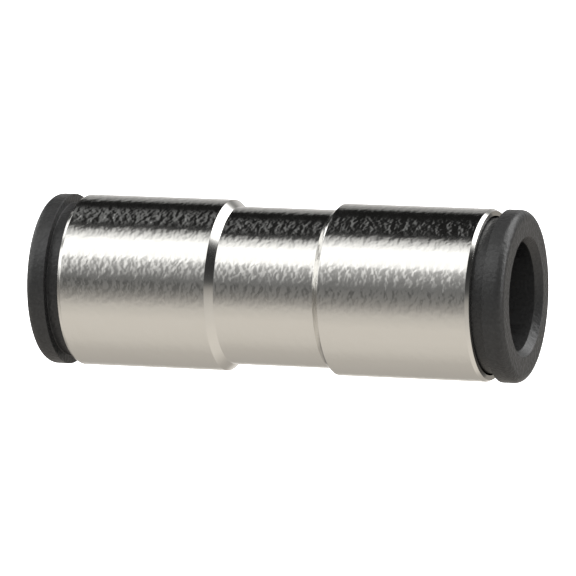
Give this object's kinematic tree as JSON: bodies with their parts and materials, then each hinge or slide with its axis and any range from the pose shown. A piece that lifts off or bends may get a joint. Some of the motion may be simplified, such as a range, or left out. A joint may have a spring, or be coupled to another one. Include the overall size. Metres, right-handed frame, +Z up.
{
  "type": "push to connect fitting",
  "caption": "Straight push-to-connect tube union: waisted plated metal body with a black release sleeve and a toothed grip ring at each end.",
  "frame": {"origin": "middle of the body on the tube axis, halfway between the two sleeve faces", "axes": "+X along the tube axis out of the right-hand port, -X out of the left-hand port, +Z up; the union is the same all round X"},
  "size_m": [0.0376, 0.013, 0.013],
  "materials": {
    "nickel_plated_brass": "bright nickel plate over turned brass, faint orange-peel ripple",
    "bare_brass": "turned, unplated",
    "stainless_spring_steel": "stamped strip, bright",
    "black_acetal": "moulded, fine satin grain",
    "nitrile_rubber": "matt, lightly greased"
  },
  "bodies": {
    "housing": {"body": "nickel_plated_brass", "left_retaining_collar": "bare_brass", "left_grip_ring": "stainless_spring_steel", "left_backing_ring": "black_acetal", "left_tube_seal": "nitrile_rubber", "right_retaining_collar": "bare_brass", "right_grip_ring": "stainless_spring_steel", "right_backing_ring": "black_acetal", "right_tube_seal": "nitrile_rubber"},
    "left_sleeve": {"left_release_sleeve": "black_acetal"},
    "right_sleeve": {"right_release_sleeve": "black_acetal"}
  },
  "joints": [
    {"name": "left_sleeve_press", "type": "slide", "parent": "housing", "child": "left_sleeve", "axis": [1, 0, 0], "range_m": [0, 0.0009], "stiffness_N_per_m": 4000, "deforming": ["left_grip_ring"]},
    {"name": "right_sleeve_press", "type": "slide", "parent": "housing", "child": "right_sleeve", "axis": [-1, 0, 0], "range_m": [0, 0.0009], "stiffness_N_per_m": 4000, "deforming": ["right_grip_ring"]}
  ]
}
